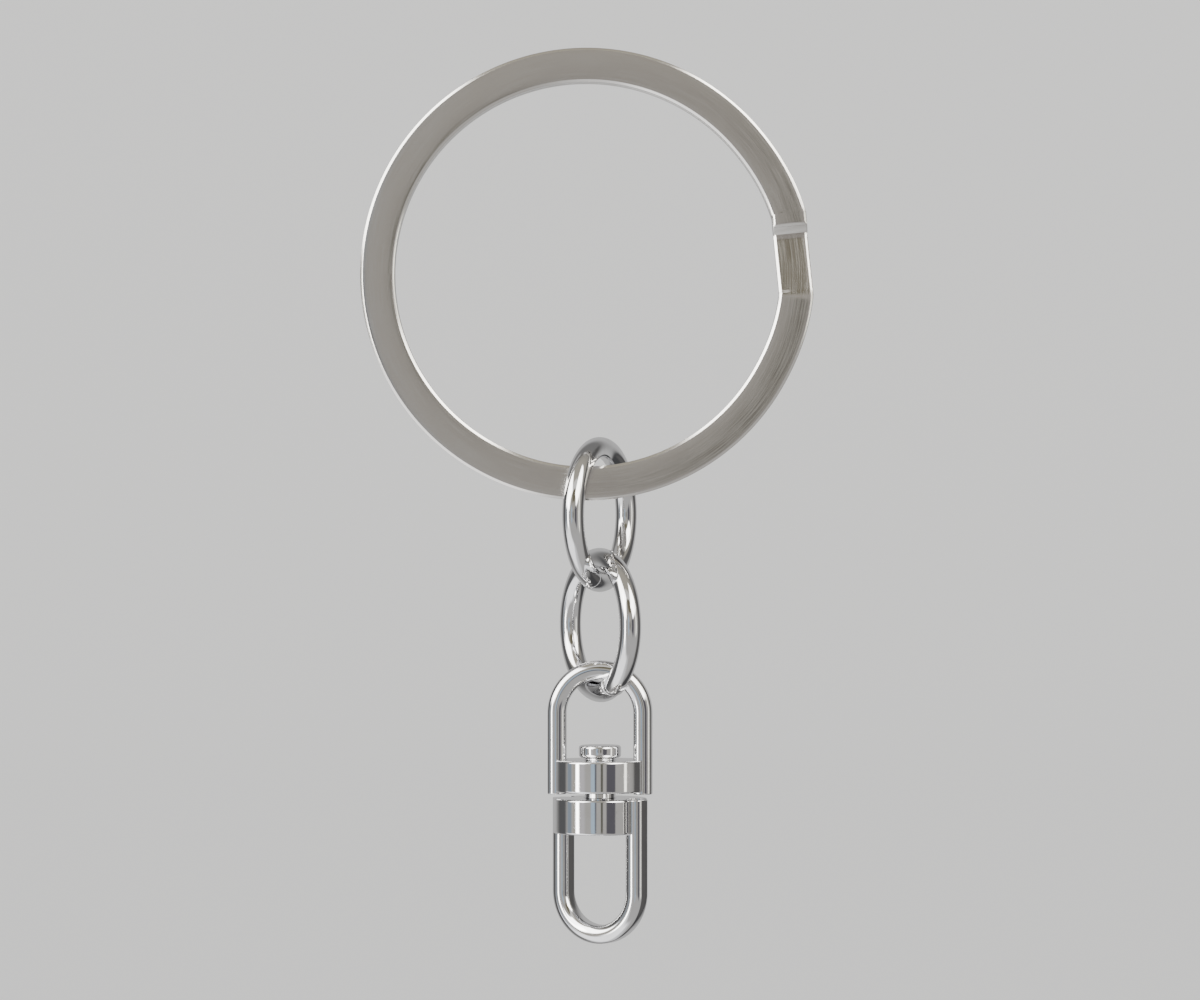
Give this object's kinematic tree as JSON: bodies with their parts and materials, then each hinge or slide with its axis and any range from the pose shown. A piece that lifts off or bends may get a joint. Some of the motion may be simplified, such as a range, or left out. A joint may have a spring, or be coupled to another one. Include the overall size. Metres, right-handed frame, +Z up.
{
  "type": "split key ring with swivel",
  "caption": "Flat two-turn split ring carrying two round jump rings and a swivel whose lower bail holds a fob or key.",
  "frame": {"origin": "inside top of the split ring, midway between its two turns, where a hook or finger holds it", "axes": "+Z up along the hanging chain, -Y out of the ring's front face, +X to the right seen from the front"},
  "size_m": [0.03, 0.0096, 0.0595],
  "materials": {
    "satin_nickel": "satin nickel plate, fine circular grain",
    "chrome_links": "bright polished plate",
    "chrome_swivel": "bright polished plate with light handling marks"
  },
  "bodies": {
    "ring": {"split_ring": "satin_nickel"},
    "upper_link": {"upper_link": "chrome_links"},
    "lower_link": {"lower_link": "chrome_links"},
    "swivel_top": {"upper_bail": "chrome_swivel", "upper_hub": "chrome_swivel"},
    "swivel_bottom": {"swivel_pin": "chrome_swivel", "lower_hub": "chrome_swivel", "lower_bail": "chrome_swivel"}
  },
  "joints": [
    {"name": "upper_link_swing", "type": "hinge", "parent": "ring", "child": "upper_link", "pos_m": [0.00089, 0, -0.02657], "axis": [1, 0, 0], "range_deg": [-80, 80]},
    {"name": "lower_link_swing", "type": "hinge", "parent": "upper_link", "child": "lower_link", "pos_m": [0.00089, 0, -0.03309], "axis": [-0.3971, -0.9178, 0], "range_deg": [-60, 60]},
    {"name": "swivel_swing", "type": "hinge", "parent": "lower_link", "child": "swivel_top", "pos_m": [0.00089, 0, -0.04041], "axis": [0.4509, -0.8926, 0], "range_deg": [-60, 60]},
    {"name": "swivel_spin", "type": "hinge", "parent": "swivel_top", "child": "swivel_bottom", "pos_m": [0.00089, 0, -0.0473], "axis": [0, 0, 1], "continuous": true}
  ]
}
